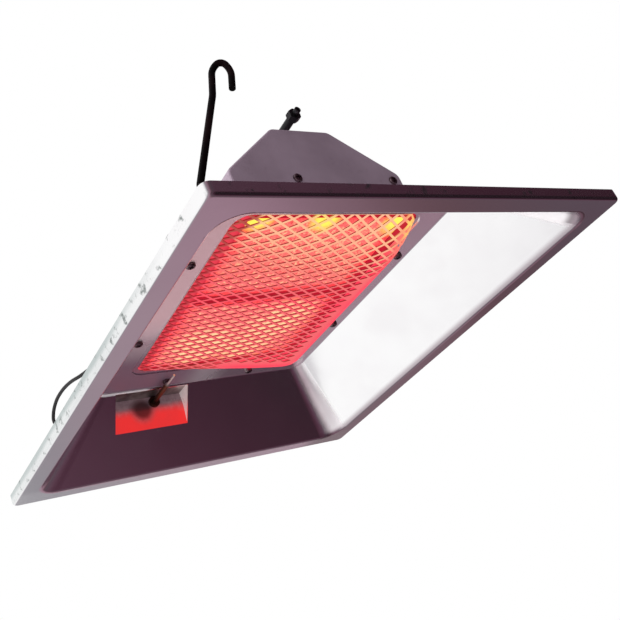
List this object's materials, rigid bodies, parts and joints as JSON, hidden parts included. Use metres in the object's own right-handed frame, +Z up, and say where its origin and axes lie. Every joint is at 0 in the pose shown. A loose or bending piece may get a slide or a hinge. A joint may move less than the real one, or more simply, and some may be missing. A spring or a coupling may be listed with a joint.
{
  "type": "gas poultry heater",
  "caption": "Hanging infrared gas heater for chicks: a flared reflector hood over a mesh-screened ceramic burner, with a gas train, thermocouple pocket and swinging wire hooks.",
  "frame": {"origin": "centre of the rim's underside, the level that the hood stands on when it is set down", "axes": "+Z up, away from the open mouth; Y along the rim's long side with the gas inlet at -Y and the venturi mouth at +Y; X along the short side with the valve's button at +X"},
  "size_m": [0.31, 0.366, 0.1492],
  "materials": {
    "polished_sheet": "polished",
    "coated_sheet": "satin",
    "mesh_steel": "heat tinted",
    "burner_sheet": "satin",
    "plaque_ceramic": "matt, glowing",
    "seal_fibre": "matt",
    "fastener_steel": "bright",
    "gas_brass": "satin",
    "pipe_steel": "satin",
    "probe_steel": "heat tinted",
    "lead_sleeve": "matt",
    "hook_steel": "satin",
    "button_plastic": "gloss",
    "spring_steel": "bright"
  },
  "bodies": {
    "heater": {"reflector_hood": "polished_sheet", "pilot_pocket": "polished_sheet", "burner_screen": "mesh_steel", "burner_frame": "burner_sheet", "plaque_divider": "burner_sheet", "plaque_front": "plaque_ceramic", "plaque_rear": "plaque_ceramic", "plaque_seal": "seal_fibre", "plaque_retainer": "burner_sheet", "bonnet_gasket": "seal_fibre", "bonnet": "coated_sheet", "bonnet_flange": "coated_sheet", "panel_screws": "fastener_steel", "panel_nuts": "fastener_steel", "diffuser_baffle": "burner_sheet", "baffle_screws": "fastener_steel", "venturi_tube": "burner_sheet", "venturi_mouth": "burner_sheet", "injector_bracket": "coated_sheet", "injector_elbow": "gas_brass", "injector_jet": "gas_brass", "mouth_screws": "fastener_steel", "valve_body": "gas_brass", "valve_saddle": "coated_sheet", "pipe_support": "coated_sheet", "crown_screws": "fastener_steel", "inlet_pipe": "pipe_steel", "inlet_union_nut": "pipe_steel", "supply_tube": "pipe_steel", "supply_nuts": "gas_brass", "button_spring": "spring_steel", "magnet_unit": "gas_brass", "thermocouple_nut": "gas_brass", "thermocouple_probe": "probe_steel", "thermocouple_locknut": "gas_brass", "thermocouple_lead": "lead_sleeve", "hook_lugs": "coated_sheet", "lug_rivets": "fastener_steel"},
    "front_hook": {"hook_front": "hook_steel"},
    "rear_hook": {"hook_rear": "hook_steel"},
    "button": {"valve_button": "button_plastic"}
  },
  "joints": [
    {"name": "front_hook_swing", "type": "hinge", "parent": "heater", "child": "front_hook", "pos_m": [-0.1498, -0.1709, 0.0045], "axis": [0, 1, 0], "range_deg": [-30, 60]},
    {"name": "rear_hook_swing", "type": "hinge", "parent": "heater", "child": "rear_hook", "pos_m": [0.1498, 0.1709, 0.0045], "axis": [0, -1, 0], "range_deg": [-30, 60]},
    {"name": "button_press", "type": "slide", "parent": "heater", "child": "button", "axis": [-1, 0, 0], "range_m": [0, 0.004], "stiffness_N_per_m": 400, "springref_m": -0.004, "deforming": ["button_spring"]}
  ]
}
